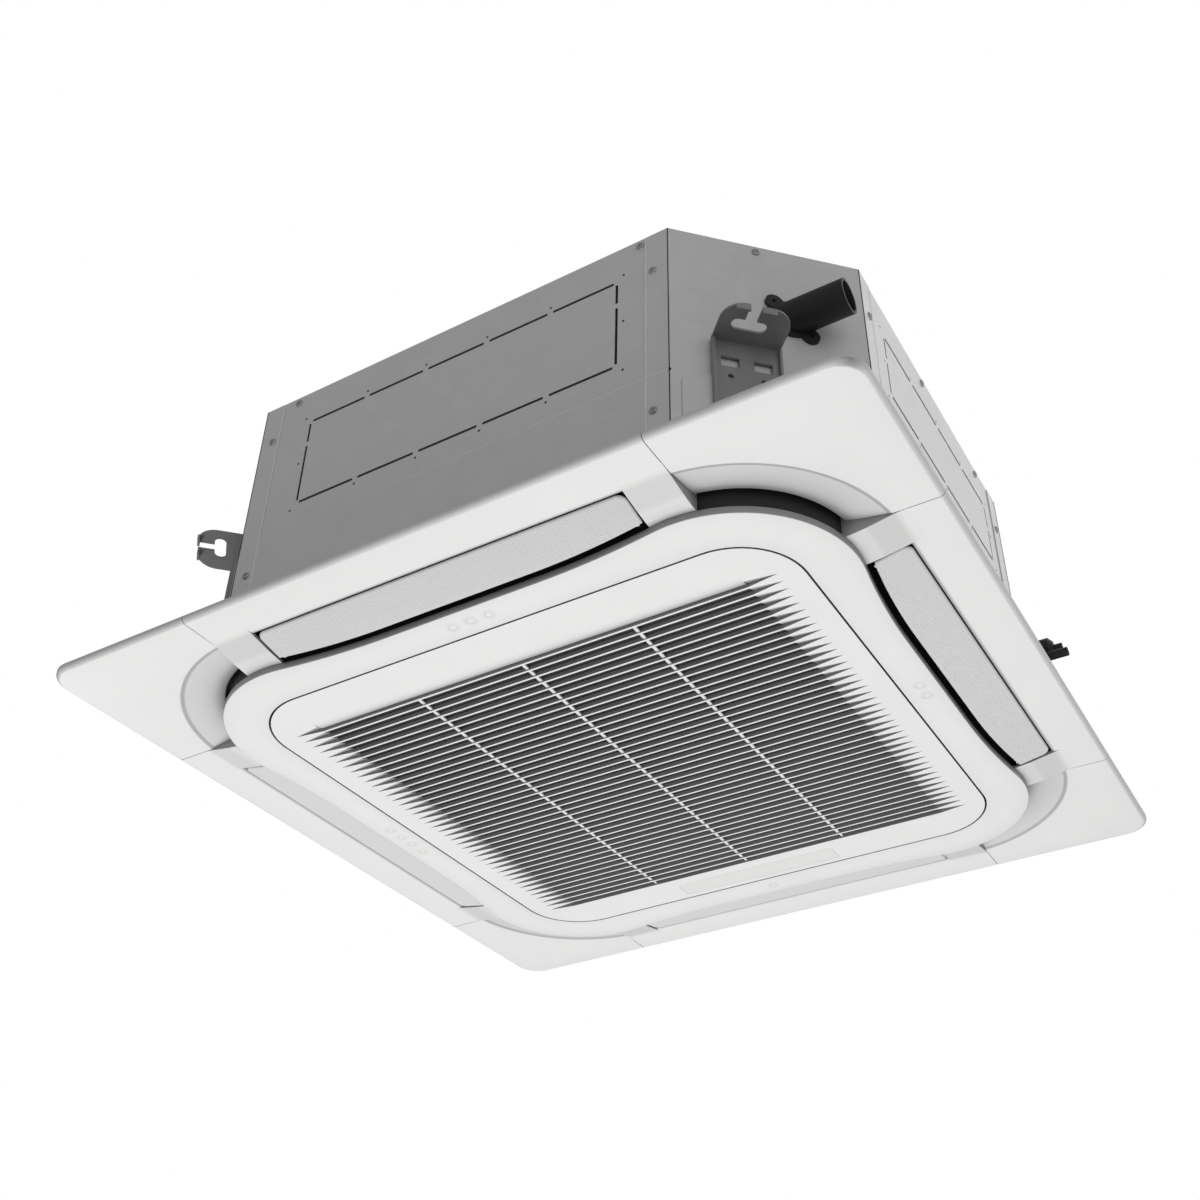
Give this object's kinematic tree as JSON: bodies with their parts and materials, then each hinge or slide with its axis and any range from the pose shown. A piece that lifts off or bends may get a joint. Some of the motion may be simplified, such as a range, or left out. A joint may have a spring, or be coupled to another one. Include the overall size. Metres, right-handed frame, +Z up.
{
  "type": "ceiling cassette air conditioner",
  "caption": "Square ceiling cassette air conditioner: panel with air flaps on its sides, hinged slatted intake grille, cut-cornered steel body, corner hangers, drain socket, pipe unions.",
  "frame": {"origin": "centre of the four hanging rods, at the height of the hanger plates' undersides", "axes": "+Z up towards the ceiling slab, +X towards the side with the drain socket and the pipe unions, +Y towards the edge with the display window"},
  "size_m": [0.95, 0.95, 0.3607],
  "materials": {
    "casing_steel": "satin galvanised sheet",
    "hanger_steel": "zinc plated",
    "black_plastic": "matt black",
    "foam": "expanded foam",
    "fin_aluminium": "pleated fins",
    "copper": "drawn tube",
    "fan_plastic": "satin moulded",
    "motor_steel": "satin black",
    "bright_steel": "turned",
    "box_steel": "galvanised",
    "board": "glass fibre board",
    "white_moulding": "fine satin moulding",
    "flap_plastic": "fine ribbed",
    "filter_plastic": "matt",
    "filter_net": "woven net",
    "window_plastic": "translucent white",
    "float_foam": "foam"
  },
  "bodies": {
    "case": {"top_plate": "casing_steel", "front_plate": "casing_steel", "right_plate": "casing_steel", "rear_plate": "casing_steel", "left_plate": "casing_steel", "front_left_corner_plate": "casing_steel", "front_right_corner_plate": "casing_steel", "rear_left_corner_plate": "casing_steel", "pipe_cover": "casing_steel", "casing_screws": "hanger_steel", "front_left_hanger": "hanger_steel", "front_right_hanger": "hanger_steel", "rear_right_hanger": "hanger_steel", "rear_left_hanger": "hanger_steel", "drain_socket": "black_plastic", "gas_union": "black_plastic", "liquid_union": "black_plastic", "foam_liner": "foam", "heat_exchanger": "fin_aluminium", "coil_bends": "copper", "gas_pipe": "copper", "liquid_pipe": "copper", "drain_pan": "foam", "bell_mouth": "fan_plastic", "fan_motor": "motor_steel", "motor_mount": "casing_steel", "drain_pump": "black_plastic", "pump_hose": "black_plastic", "float_stem": "white_moulding", "control_box": "box_steel", "control_lid": "box_steel", "circuit_board": "board", "panel_frame": "white_moulding", "front_left_cover": "white_moulding", "front_right_cover": "white_moulding", "rear_right_cover": "white_moulding", "rear_left_cover": "white_moulding", "intake_ring": "white_moulding", "flap_motors": "motor_steel", "flap_bushes": "white_moulding", "panel_screws": "hanger_steel", "catch_housings": "black_plastic"},
    "fan": {"motor_shaft": "bright_steel", "fan_hub": "fan_plastic", "fan_blades": "fan_plastic", "fan_shroud": "fan_plastic", "fan_nut": "bright_steel"},
    "grille": {"intake_grille": "white_moulding", "filter_frame": "filter_plastic", "filter_mesh": "filter_net", "display_window": "window_plastic", "receiver_board": "board", "hinge_arms": "bright_steel"},
    "float_body": {"float": "float_foam"},
    "left_catch_body": {"left_catch": "bright_steel"},
    "right_catch_body": {"right_catch": "bright_steel"},
    "front_flap_body": {"front_flap": "flap_plastic"},
    "right_flap_body": {"right_flap": "flap_plastic"},
    "rear_flap_body": {"rear_flap": "flap_plastic"},
    "left_flap_body": {"left_flap": "flap_plastic"}
  },
  "joints": [
    {"name": "front_flap_hinge", "type": "hinge", "parent": "case", "child": "front_flap_body", "pos_m": [0, -0.392, -0.178], "axis": [1, 0, 0], "range_deg": [0, 50]},
    {"name": "right_flap_hinge", "type": "hinge", "parent": "case", "child": "right_flap_body", "pos_m": [0.392, 0, -0.178], "axis": [0, 1, 0], "range_deg": [0, 50]},
    {"name": "rear_flap_hinge", "type": "hinge", "parent": "case", "child": "rear_flap_body", "pos_m": [0, 0.392, -0.178], "axis": [-1, 0, 0], "range_deg": [0, 50]},
    {"name": "left_flap_hinge", "type": "hinge", "parent": "case", "child": "left_flap_body", "pos_m": [-0.392, 0, -0.178], "axis": [0, -1, 0], "range_deg": [0, 50]},
    {"name": "fan_spin", "type": "hinge", "parent": "case", "child": "fan", "pos_m": [0, 0, 0], "axis": [0, 0, 1], "continuous": true},
    {"name": "grille_hinge", "type": "hinge", "parent": "case", "child": "grille", "pos_m": [0, 0.34, -0.1949], "axis": [1, 0, 0], "range_deg": [0, 90]},
    {"name": "float_rise", "type": "slide", "parent": "case", "child": "float_body", "axis": [0, 0, 1], "range_m": [0, 0.015]},
    {"name": "left_catch_press", "type": "slide", "parent": "case", "child": "left_catch_body", "axis": [0, 0, 1], "range_m": [0, 0.003], "stiffness_N_per_m": 400, "springref_m": -0.002},
    {"name": "right_catch_press", "type": "slide", "parent": "case", "child": "right_catch_body", "axis": [0, 0, 1], "range_m": [0, 0.003], "stiffness_N_per_m": 400, "springref_m": -0.002}
  ]
}
